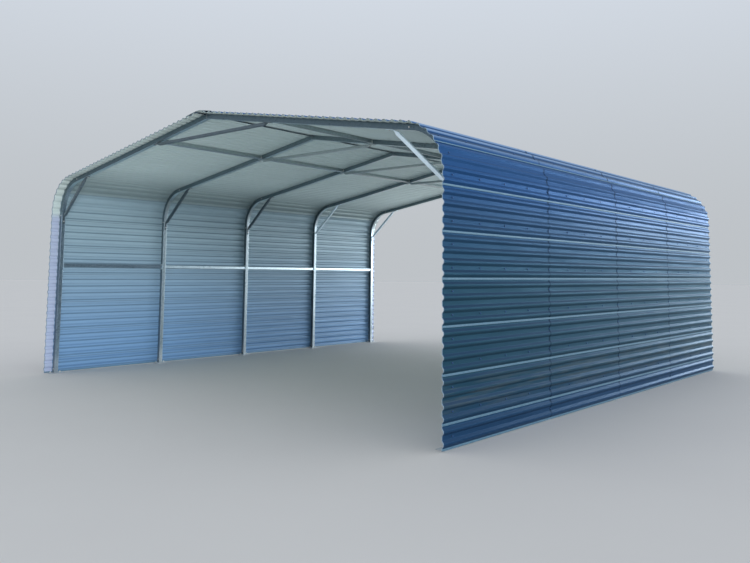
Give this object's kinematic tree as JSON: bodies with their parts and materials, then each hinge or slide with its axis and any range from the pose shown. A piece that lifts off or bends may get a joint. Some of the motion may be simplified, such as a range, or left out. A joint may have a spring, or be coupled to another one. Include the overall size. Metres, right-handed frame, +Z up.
{
  "type": "steel carport",
  "caption": "Open-ended steel carport: square-tube hoops with rounded eaves, clad in corrugated sheet on both sides and the gable roof.",
  "frame": {"origin": "centre of the plan at ground level, under the ridge", "axes": "+Z up, X across the carport with the walls at each end, Y along the ridge with the front opening towards -Y"},
  "size_m": [6.096, 6.096, 2.873],
  "materials": {
    "hoop_tube": "galvanised square tube",
    "brace_tube": "galvanised small tube with flattened ends",
    "rail_tube": "galvanised rail tube",
    "foot_steel": "galvanised plate",
    "cladding_sheet": "coated corrugated steel sheet, blue-grey",
    "ridge_flashing": "coated folded flashing"
  },
  "bodies": {
    "root": {"collar_tie_1": "brace_tube", "collar_tie_2": "brace_tube", "collar_tie_3": "brace_tube", "collar_tie_4": "brace_tube", "collar_tie_5": "brace_tube", "eave_bend_left_1": "hoop_tube", "eave_bend_left_2": "hoop_tube", "eave_bend_left_3": "hoop_tube", "eave_bend_left_4": "hoop_tube", "eave_bend_left_5": "hoop_tube", "eave_bend_right_1": "hoop_tube", "eave_bend_right_2": "hoop_tube", "eave_bend_right_3": "hoop_tube", "eave_bend_right_4": "hoop_tube", "eave_bend_right_5": "hoop_tube", "eave_cladding_left": "cladding_sheet", "eave_cladding_right": "cladding_sheet", "foot_plates_left": "foot_steel", "foot_plates_right": "foot_steel", "knee_braces_left": "brace_tube", "knee_braces_right": "brace_tube", "leg_left_1": "hoop_tube", "leg_left_2": "hoop_tube", "leg_left_3": "hoop_tube", "leg_left_4": "hoop_tube", "leg_left_5": "hoop_tube", "leg_right_1": "hoop_tube", "leg_right_2": "hoop_tube", "leg_right_3": "hoop_tube", "leg_right_4": "hoop_tube", "leg_right_5": "hoop_tube", "ridge_cap": "ridge_flashing", "roof_bow_1": "hoop_tube", "roof_bow_2": "hoop_tube", "roof_bow_3": "hoop_tube", "roof_bow_4": "hoop_tube", "roof_bow_5": "hoop_tube", "roof_cladding_left": "cladding_sheet", "roof_cladding_right": "cladding_sheet", "roof_purlin_left": "rail_tube", "roof_purlin_right": "rail_tube", "wall_cladding_left": "cladding_sheet", "wall_cladding_right": "cladding_sheet", "wall_girt_left": "rail_tube", "wall_girt_right": "rail_tube"}
  },
  "joints": []
}
